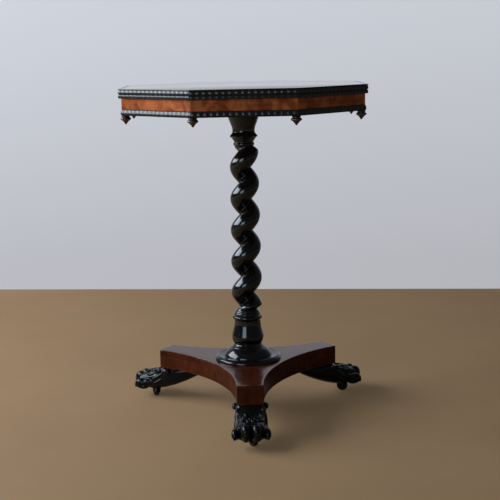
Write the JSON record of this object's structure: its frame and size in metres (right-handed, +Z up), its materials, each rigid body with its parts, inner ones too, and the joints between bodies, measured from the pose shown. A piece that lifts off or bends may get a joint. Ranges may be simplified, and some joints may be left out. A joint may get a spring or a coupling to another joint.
{
  "type": "lamp table",
  "caption": "Octagonal lamp table with ripple-moulded frieze, corner drop pendants, ebonised barley-twist column, hollow-sided platform and carved paw feet on swivel castors.",
  "frame": {"origin": "on the floor under the column's axis", "axes": "+Z up the column; -Y towards the front paw foot, with a flat side of the top facing -Y"},
  "size_m": [0.54, 0.565, 0.73],
  "materials": {
    "top_veneer": "french polished",
    "frieze_veneer": "french polished",
    "platform_veneer": "french polished",
    "ebonised": "ebonised and polished",
    "pendant_wood": "stained and polished",
    "plain_oak": "bare",
    "castor_brass": "aged dark",
    "axle_steel": "worn"
  },
  "bodies": {
    "table": {"top_board": "top_veneer", "top_moulding_1": "ebonised", "top_moulding_2": "ebonised", "top_moulding_3": "ebonised", "top_moulding_4": "ebonised", "top_moulding_5": "ebonised", "top_moulding_6": "ebonised", "top_moulding_7": "ebonised", "top_moulding_8": "ebonised", "frieze_board_1": "frieze_veneer", "frieze_board_2": "frieze_veneer", "frieze_board_3": "frieze_veneer", "frieze_board_4": "frieze_veneer", "frieze_board_5": "frieze_veneer", "frieze_board_6": "frieze_veneer", "frieze_board_7": "frieze_veneer", "frieze_board_8": "frieze_veneer", "base_moulding_1": "ebonised", "base_moulding_2": "ebonised", "base_moulding_3": "ebonised", "base_moulding_4": "ebonised", "base_moulding_5": "ebonised", "base_moulding_6": "ebonised", "base_moulding_7": "ebonised", "base_moulding_8": "ebonised", "pendant_1": "pendant_wood", "pendant_2": "pendant_wood", "pendant_3": "pendant_wood", "pendant_4": "pendant_wood", "pendant_5": "pendant_wood", "pendant_6": "pendant_wood", "pendant_7": "pendant_wood", "pendant_8": "pendant_wood", "top_bearer": "plain_oak", "top_wedge": "plain_oak", "foot_wedge": "plain_oak", "column": "ebonised", "socle_disc": "ebonised", "platform": "platform_veneer", "paw_foot_1": "ebonised", "paw_foot_2": "ebonised", "paw_foot_3": "ebonised", "foot_dowel_1": "plain_oak", "foot_dowel_2": "plain_oak", "foot_dowel_3": "plain_oak", "castor_plate_1": "castor_brass", "castor_plate_2": "castor_brass", "castor_plate_3": "castor_brass"},
    "castor_swivel_1": {"castor_fork_1": "castor_brass", "castor_axle_1": "axle_steel"},
    "castor_roller_1": {"castor_wheel_1": "castor_brass"},
    "castor_swivel_2": {"castor_fork_2": "castor_brass", "castor_axle_2": "axle_steel"},
    "castor_roller_2": {"castor_wheel_2": "castor_brass"},
    "castor_swivel_3": {"castor_fork_3": "castor_brass", "castor_axle_3": "axle_steel"},
    "castor_roller_3": {"castor_wheel_3": "castor_brass"}
  },
  "joints": [
    {"name": "castor_1_swivel", "type": "hinge", "parent": "table", "child": "castor_swivel_1", "pos_m": [0, -0.25, 0.0305], "axis": [0, 0, 1], "continuous": true},
    {"name": "castor_1_roll", "type": "hinge", "parent": "castor_swivel_1", "child": "castor_roller_1", "pos_m": [0.004, -0.25693, 0.013], "axis": [0.866, 0.5, 0], "continuous": true},
    {"name": "castor_2_swivel", "type": "hinge", "parent": "table", "child": "castor_swivel_2", "pos_m": [0.21651, 0.125, 0.0305], "axis": [0, 0, 1], "continuous": true},
    {"name": "castor_2_roll", "type": "hinge", "parent": "castor_swivel_2", "child": "castor_roller_2", "pos_m": [0.22402, 0.12226, 0.013], "axis": [0.342, 0.9397, 0], "continuous": true},
    {"name": "castor_3_swivel", "type": "hinge", "parent": "table", "child": "castor_swivel_3", "pos_m": [-0.21651, 0.125, 0.0305], "axis": [0, 0, 1], "continuous": true},
    {"name": "castor_3_roll", "type": "hinge", "parent": "castor_swivel_3", "child": "castor_roller_3", "pos_m": [-0.2179, 0.11712, 0.013], "axis": [0.9848, -0.1736, 0], "continuous": true}
  ]
}
